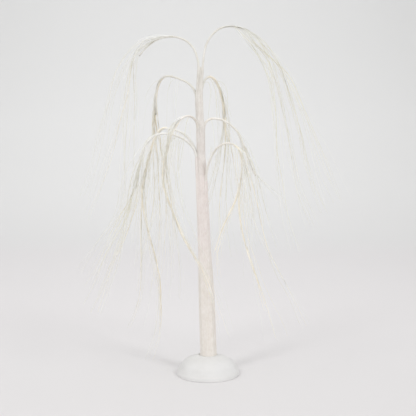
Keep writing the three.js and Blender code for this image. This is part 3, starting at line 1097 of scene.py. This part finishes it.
def grow_wisps(strands, bough, rng, count, longest):
    """Wisps: single fibres that drop from the wire and hang almost straight under the arch."""
    rise = bough.crest_at - bough.root_at
    fall = bough.length - bough.crest_at
    at = bough.crest_at + rng.uniform(-0.5 * rise, 0.6 * fall, count)
    points, tangent, outer = bough.wire(at)
    turn = rng.uniform(0.9, 2.2, count) * rng.choice([-1, 1], count)
    start = spun(points, outer, bough.across, WIRE_END_RADIUS, turn)
    first = unit(tangent * 0.8 + bough.across * (np.sin(turn) * 0.5)[:, None]
                 + rng.normal(0, 0.25, (count, 3)))
    flare = rng.normal(0, 0.09, (count, 3)) + bough.out * rng.uniform(-0.02, 0.16, (count, 1))
    last = unit(np.array((0, 0, -1)) + flare * (1, 1, 0))
    length = rng.uniform(0.25, 1.0, count) ** 1.2 * longest
    fallen = length[:, None] * np.linspace(0, 1, WISP_STATIONS)
    bend = rng.uniform(4, 14, (count, 1)) * MM
    weight = (1 - np.exp(-fallen / bend))[..., None]
    heading = unit(first[:, None] * (1 - weight) + last[:, None] * weight)
    step = (length / (WISP_STATIONS - 1))[:, None, None]
    paths = start[:, None] + np.cumsum(heading * step, axis=1) - heading[:, :1] * step
    moved = swayed(fallen, WISP_SWAY, rng) + swayed(fallen, WISP_CRIMP, rng)
    paths = paths + bough.across * moved[:, 0][..., None] + bough.out * moved[:, 1][..., None]
    strands.add(paths, np.array((1.0, 0.3, 0.0)), 0, rng)


def pointing(turn):
    """A place one away from the middle of a tress's section."""
    return np.array((math.cos(turn), math.sin(turn)))


def grow_tress(strands, bough, number, materials, rng):
    """The locks and single fibres of one tress, and the heart of its golden lock."""
    dressing = bough.dressing
    tress = bough.tresses[number - 1]
    first, last = dressing["leaves"]
    place = rng.uniform(-0.3, 0.3, 2)
    if number in dressing["golden"]:
        lock = grow_lock(strands["gold"], bough, tress, dressing["bound"], "golden", place, rng,
                         (last - GOLDEN_LEAVES, last))
        if dressing["heart"]:
            heart = make_heart(f"lock_{bough.name}_{number}", *lock, dressing["heart"],
                               bough.across, materials, rng)
            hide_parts(f"foliage_{bough.name}_tress_{number}")
    else:
        kind = "pale" if dressing["white"] >= 0.5 else "cream"
        grow_lock(strands[kind], bough, tress, 2, "plain", place, rng, (first, last))
    for _ in range(dressing["locks"]):
        place = pointing(rng.uniform(0, TURN)) * math.sqrt(rng.uniform(0.15, 1.0))
        chance = rng.random()
        kind = "gold" if chance < dressing["gold"] else "cream"
        if chance > 1 - dressing["white"]:
            kind = "pale"
        grow_lock(strands[kind], bough, tress, int(rng.integers(1, 4)), "small", place, rng,
                  (first, last))
    for _ in range(dressing["singles"]):
        place = pointing(rng.uniform(0, TURN)) * rng.uniform(0.5, 1.35)
        grow_lock(strands["pale"], bough, tress, 1, "single", place, rng, (first * 0.4, last))


def make_fibres(bough, materials, seed):
    """All the hanging fibres of one bough, joined by kind, and the hearts of its golden locks."""
    rng = np.random.default_rng(seed)
    strands = {kind: Strands(radius) for kind, radius in FIBRE_RADII.items()}
    numbers = range(1, len(bough.tresses) + 1)
    for number in numbers:
        grow_tress(strands, bough, number, materials, rng)
    wisps = bough.dressing["wisps"]
    if wisps:
        pale = math.ceil(wisps * PALE_WISPS)
        for kind, count in (("pale", pale), ("cream", wisps - pale)):
            grow_wisps(strands[kind], bough, rng, count, WISP_LENGTHS[kind])
    nodes = [f"foliage_{bough.name}_sleeve"]
    nodes += [f"foliage_{bough.name}_tress_{number}" for number in numbers]
    for kind, gathered in strands.items():
        if not gathered.points:
            continue
        points = np.concatenate(gathered.points)
        piece = new_piece(f"fibres_{bough.name}_{kind}", points, gathered.faces, materials[kind],
                          smooth=False, face_material=gathered.shades)
        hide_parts(*nodes)


# ---- The studio ----

# The paper's colour by how far behind the tree it is, with less than nothing in front of it: a
# floor that is palest in front, then a darker bend and a paler wall. The tint is the paper's; the
# paler and darker bands are painted light and shade on it.
STUDIO_COLOURS = (
    (-0.34, (0.770, 0.760, 0.762)), (-0.14, (0.672, 0.660, 0.662)), (-0.04, (0.668, 0.656, 0.658)),
    (0.06, (0.680, 0.668, 0.670)), (0.12, (0.687, 0.674, 0.677)), (0.18, (0.701, 0.687, 0.690)),
    (0.26, (0.708, 0.693, 0.696)), (0.42, (0.702, 0.688, 0.691)), (0.62, (0.700, 0.687, 0.690)),
    (0.72, (0.700, 0.698, 0.697)), (0.95, (0.734, 0.734, 0.731)), (1.20, (0.744, 0.745, 0.742)),
    (1.45, (0.718, 0.720, 0.717)), (2.00, (0.69, 0.692, 0.69)),
)
# By how much the places at which those colours change wander.
STUDIO_WANDER = 0.08
# Painted shade: the paper's colour falls off to the sides, as light does: where it is brightest,
# how far off it is darkest, how dark.
SIDES = {"centre": -0.045, "reach": 0.45, "darkest_shade": 0.885}

# The floor is flat so far from the tree, then it bends up into a wall that ends at this height.
FLOOR_FLAT = 0.62
SWEEP_RADIUS = 1.25
WALL_TOP = 1.32
SWEEP_COLUMNS = 96

CAMERA_PLACE = (0.0, -0.968, 0.278)
CAMERA_PITCH = math.radians(7.85)
CAMERA_LENS = 100

# The lights are alike but for where they stand: their direction from the tree, in degrees.
LIGHT_AZIMUTHS = {"soft_light_right": -48, "soft_light_left": 231}
LIGHT = {"height": math.radians(42), "away": 3.0, "aim": 0.1, "size": 0.68, "power": 20.3}
SKY_STRENGTH = 0.985


def studio_material():
    """Plain paper, in the studio's colours from front to back with painted light and shade, and
    painted shade that darkens it to the sides.
    """
    paper = Finish("studio_paper")
    nearest = STUDIO_COLOURS[0][0]
    farthest = STUDIO_COLOURS[-1][0]
    behind = paper.math("MULTIPLY_ADD", paper.noise(2.2, detail=2), STUDIO_WANDER, paper.axis("Y"))
    tint = paper.ramp(paper.span(behind, low=nearest, high=farthest), [
        ((at - nearest) / (farthest - nearest), colour) for at, colour in STUDIO_COLOURS])
    # Painted shade, darker to the sides.
    aside = paper.math("ADD", paper.axis("X"), -SIDES["centre"])
    painted_side_shade = paper.span(paper.math("MULTIPLY", aside, aside), high=SIDES["reach"] ** 2,
                        to_low=1.0, to_high=SIDES["darkest_shade"])
    grey = paper.node("CombineXYZ", {"X": painted_side_shade, "Y": painted_side_shade, "Z": painted_side_shade}).outputs["Vector"]
    return paper.shade({
        "Base Color": paper.mix(1.0, tint, grey, "MULTIPLY"),
        "Roughness": 0.9,
        "Specular IOR Level": 0.1,
    })


def make_sweep():
    """A pale floor that sweeps up into a round wall, open above."""
    corner = np.linspace(0, math.pi / 2, 24)
    bend = np.stack([FLOOR_FLAT + SWEEP_RADIUS * np.sin(corner),
                     SWEEP_RADIUS * (1 - np.cos(corner))], axis=1)
    floor = [(radius, 0.0) for radius in (0.02, 0.2, 0.4)]
    rows = turned(np.concatenate([floor, bend, [(bend[-1, 0], WALL_TOP)]]), SWEEP_COLUMNS)
    faces = [*grid_faces(len(rows), SWEEP_COLUMNS), range(SWEEP_COLUMNS)]
    sweep = new_mesh("studio_sweep", rows, faces, [studio_material()])


def make_lights():
    """Two soft lights in front and an even white sky."""
    lift = LIGHT["height"]
    for name, degrees in LIGHT_AZIMUTHS.items():
        azimuth = math.radians(degrees)
        back = Vector((math.cos(azimuth) * math.cos(lift), math.sin(azimuth) * math.cos(lift),
                       math.sin(lift)))
        lamp = bpy.data.lights.new(name, "AREA")
        lamp.shape = "DISK"
        lamp.size = LIGHT["size"]
        lamp.energy = LIGHT["power"]
        light = new_object(name, lamp)
        light.location = back * LIGHT["away"] + Vector((0, 0, LIGHT["aim"]))
        light.rotation_mode = "QUATERNION"
        light.rotation_quaternion = back.to_track_quat("Z", "Y")
    world = bpy.data.worlds.new("studio_air")
    world.use_nodes = True
    sky = world.node_tree.nodes["Background"]
    sky.inputs["Color"].default_value = (1, 1, 1, 1)
    sky.inputs["Strength"].default_value = SKY_STRENGTH
    bpy.context.scene.world = world
    bpy.context.scene.view_settings.view_transform = "Standard"


def make_camera():
    """The camera, level with the crown and tilted a little down, with no blur."""
    lens = bpy.data.cameras.new("camera")
    lens.lens = CAMERA_LENS
    lens.clip_start = 0.01
    camera = new_object("camera", lens)
    camera.location = CAMERA_PLACE
    camera.rotation_euler = (math.pi / 2 - CAMERA_PITCH, 0, 0)
    bpy.context.scene.camera = camera


# ---- All of it ----

def main():
    """Builds every piece and the studio."""
    boughs = [Bough(name) for name in BOUGHS]
    wire_tapes = {name: wire_tape_material(name) for name in WIRE_COLOURS}
    make_stand(stand_material(), glue_material())
    make_trunk(trunk_tape_material(), boughs)
    fibres = {kind: [fibre_material(f"fibre_{kind}_{number}", colour, deep)
                     for number, (colour, deep) in enumerate(tints, start=1)]
              for kind, tints in FIBRE_TINTS.items()}
    steel = steel_material()
    for order, bough in enumerate(boughs):
        make_bough(bough, wire_tapes[bough.dressing["tape"]], steel, seed=20 + order)
        make_binding(bough, fibres, seed=40 + order)
        make_fibres(bough, fibres, seed=60 + order)
    make_sweep()
    make_lights()
    make_camera()


main()
